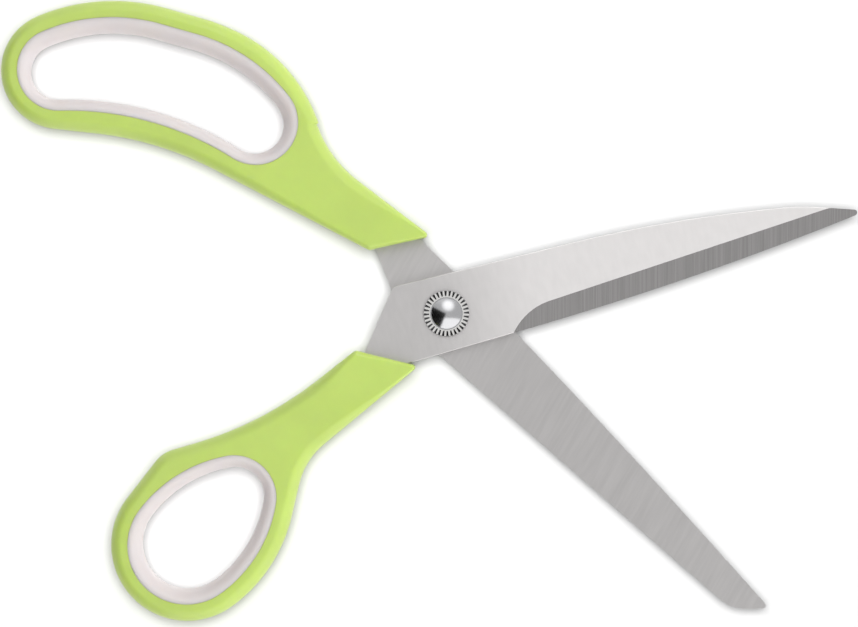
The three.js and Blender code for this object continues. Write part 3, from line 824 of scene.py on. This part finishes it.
washer = mesh_object("toothed_ring", *ringed(toothed_rings()))
smooth_faces(washer, sharpest=12)
washer.data.materials.append(plated)
# The grooves' faces take a near-black colour as painted shade for the shade that falls in them
washer.data.materials.append(turned_metal("groove_painted_shade_steel", GROOVE_PAINTED_SHADE, roughness=0.3))
painted_shade_faces = face_normals(washer)[:, 2] < LAND_UPRIGHT
washer.data.polygons.foreach_set("material_index", painted_shade_faces.astype(np.int32))
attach(washer, "rear_half")
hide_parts("toothed_washer")


# Pivot screw
#
# A turned screw with a polished, chromed dome for a head. Its shank goes through the washer into the
# barrel nut and holds the two halves together.

HEAD_RADIUS = 4.35
BRIM = 0.3
DOME_RIM = 0.5
DOME_RISE = 1.5
DOME_STEPS = 28
CHROME = (0.48, 0.48, 0.49)

head_base = washer_top + PIVOT_PLAY
shank_end = NUT_FLOOR + PIVOT_PLAY - handle_face
shank = [(0, shank_end), (SHANK_RADIUS, shank_end), (SHANK_RADIUS, head_base)]
head = [(HEAD_RADIUS, head_base), (HEAD_RADIUS, head_base + DOME_RIM)]

# The dome is a cap of a ball: its foot and its rise give the ball's radius
dome_foot = HEAD_RADIUS - BRIM
dome_top = head_base + DOME_RIM + DOME_RISE
ball_radius = (dome_foot ** 2 + DOME_RISE ** 2) / (2 * DOME_RISE)
dome_lean = np.linspace(np.arcsin(dome_foot / ball_radius), 0, DOME_STEPS)
dome_height = dome_top - ball_radius * (1 - np.cos(dome_lean))
dome = np.column_stack([ball_radius * np.sin(dome_lean), dome_height])

screw = mesh_object("domed_screw", *turned_solid(np.concatenate([shank, head, dome])))
smooth_faces(screw, sharpest=30)
screw.data.materials.append(turned_metal("bright_chrome", CHROME, roughness=0.2))
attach(screw, "rear_half")
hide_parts("pivot_screw")


# Table, lamps and camera
#
# A white table with a softbox of its own, and four softboxes for the scissors: overhead, on the right,
# below and above. Metal shows a sky with a white wall below and a glow at the top. It is dark on the
# left, where a softbox lights the blades alone. The camera looks straight down.

PICTURE_TURN = np.radians(14.4)
VIEW_WIDTH = 0.2299
VIEW_DISTANCE = 1.0
PIVOT_FROM_MIDDLE = 0.00466
SENSOR_WIDTH = 36.0
TABLE_SIZE = 8.0
TABLE_DROP = 0.0001
TABLE_SHADE = 0.5
GLOW_REACH = np.radians([36, 6])
GLOW_LEVEL = 1.3
WALL_LEVEL = 1.0
SKY_LEVELS = (0.78, 1.05)
DARK_BEARING = 200
DARK_SPREAD = 1.12
DARK_LEVEL = 0.01

right = np.array([np.cos(PICTURE_TURN), np.sin(PICTURE_TURN), 0])
up = np.array([-np.sin(PICTURE_TURN), np.cos(PICTURE_TURN), 0])

corners = np.array([(-1, -1, 0), (1, -1, 0), (1, 1, 0), (-1, 1, 0)]) * TABLE_SIZE / 2
table_mesh = bpy.data.meshes.new("table")
table_mesh.from_pydata(corners - (0, 0, TABLE_DROP), [], [(0, 1, 2, 3)])
table = bpy.data.objects.new("table", table_mesh)
bpy.context.scene.collection.objects.link(table)
table_white = bpy.data.materials.new("table_white")
table_white.use_nodes = True
paper = table_white.node_tree.nodes["Principled BSDF"].inputs
paper["Base Color"].default_value = (TABLE_SHADE, TABLE_SHADE, TABLE_SHADE, 1)
paper["Roughness"].default_value = 1.0
paper["Specular IOR Level"].default_value = 0.0
table_mesh.materials.append(table_white)

world = bpy.data.worlds.new("studio")
world.use_nodes = True
bpy.context.scene.world = world
world.cycles_visibility.diffuse = False
sky = world.node_tree
sky_way = add_node(sky, "ShaderNodeTexCoord").outputs["Generated"]


def toward(zenith, bearing):
    """A way so many degrees down from straight up, at a bearing round the picture from its right."""
    zenith, bearing = np.radians(zenith), np.radians(bearing)
    level = np.cos(bearing) * right + np.sin(bearing) * up
    return np.sin(zenith) * level + np.cos(zenith) * np.array([0, 0, 1])


def along_way(middle):
    """How far a way in the sky runs along another one: their dot product."""
    ways = {0: sky_way, 1: tuple(middle)}
    return add_node(sky, "ShaderNodeVectorMath", ways, operation="DOT_PRODUCT").outputs["Value"]


def smoothly(value, span, levels):
    """A level of the sky that passes smoothly to another while a value runs over a span."""
    return mapped(sky, value, span, levels, "SMOOTHSTEP")


def reckon(operation, *values):
    """One sum, product or the like of levels."""
    return add_node(sky, "ShaderNodeMath", dict(enumerate(values)), operation=operation).outputs["Value"]


to_glow = along_way(toward(zenith=42, bearing=78))
top_glow = smoothly(to_glow, span=np.cos(GLOW_REACH), levels=(0, GLOW_LEVEL))
low_wall = smoothly(along_way(-up), span=(0.32, 0.44), levels=(0, WALL_LEVEL))
top_wall = smoothly(along_way(up), span=(0.55, 0.95), levels=SKY_LEVELS)
to_dark = along_way(toward(zenith=90, bearing=DARK_BEARING))
aside = along_way(toward(zenith=90, bearing=DARK_BEARING + 90))
darkness = reckon("SUBTRACT", reckon("MULTIPLY", to_dark, DARK_SPREAD), reckon("ABSOLUTE", aside))
dark_side = smoothly(darkness, span=(0, 0.09), levels=(1, DARK_LEVEL))
bright = reckon("ADD", reckon("ADD", top_glow, low_wall), top_wall)
shown_level = reckon("MULTIPLY", bright, dark_side)
camera_white = add_node(sky, "ShaderNodeLightPath").outputs["Is Camera Ray"]
background = sky.nodes["Background"].inputs
sky.links.new(reckon("MAXIMUM", shown_level, camera_white), background["Strength"])
background["Color"].default_value = (1, 1, 1, 1)


def lamp_link(name, state, *lit):
    """Tells a lamp to light these objects alone, or everything but them."""
    link = bpy.data.collections.new(name)
    for made in lit:
        link.objects.link(made)
    for member in link.collection_objects:
        member.light_linking.link_state = state
    return link


def softbox(name, zenith, bearing, distance, size, power, link, shown=False):
    """A rectangular lamp that faces the middle of the table, under the pivot. Metal shows it only
    where it is said to."""
    middle = distance * toward(zenith, bearing)
    lamp = bpy.data.lights.new(name, "AREA")
    lamp.shape = "RECTANGLE"
    lamp.size, lamp.size_y = size
    lamp.energy = power
    made = bpy.data.objects.new(name, lamp)
    made.location = middle
    made.rotation_euler = Vector(middle).to_track_quat("Z", "Y").to_euler()
    made.visible_glossy = shown
    made.visible_camera = False
    made.light_linking.receiver_collection = link
    bpy.context.scene.collection.objects.link(made)


table_alone = lamp_link("table_alone", "INCLUDE", table)
table_spared = lamp_link("table_spared", "EXCLUDE", table)
blades_alone = lamp_link("blades_alone", "INCLUDE", front_blade, rear_blade)
softbox("table_softbox", zenith=5, bearing=90, distance=1.5, size=(1.1, 1.1), power=54.5,
        link=table_alone)
softbox("overhead_softbox", zenith=6, bearing=90, distance=1.5, size=(0.85, 0.85), power=12.0,
        link=table_spared)
for side, bearing, power in (("right", 0, 5.6), ("low", -90, 4.2), ("top", 90, 3.6)):
    softbox(side + "_softbox", zenith=62, bearing=bearing, distance=1.0, size=(0.6, 0.4),
            power=power, link=table_spared)
softbox("blade_softbox", zenith=64, bearing=DARK_BEARING, distance=1.5, size=(3.4, 1.5), power=17.0,
        link=blades_alone, shown=True)

camera_data = bpy.data.cameras.new("camera")
camera_data.sensor_width = SENSOR_WIDTH
camera_data.lens = SENSOR_WIDTH * VIEW_DISTANCE / VIEW_WIDTH
camera = bpy.data.objects.new("camera", camera_data)
camera.location = pivot - PIVOT_FROM_MIDDLE * right + np.array([0, 0, VIEW_DISTANCE])
camera.rotation_euler = (0, 0, PICTURE_TURN)
bpy.context.scene.collection.objects.link(camera)
bpy.context.scene.camera = camera
bpy.context.scene.view_settings.view_transform = "Standard"
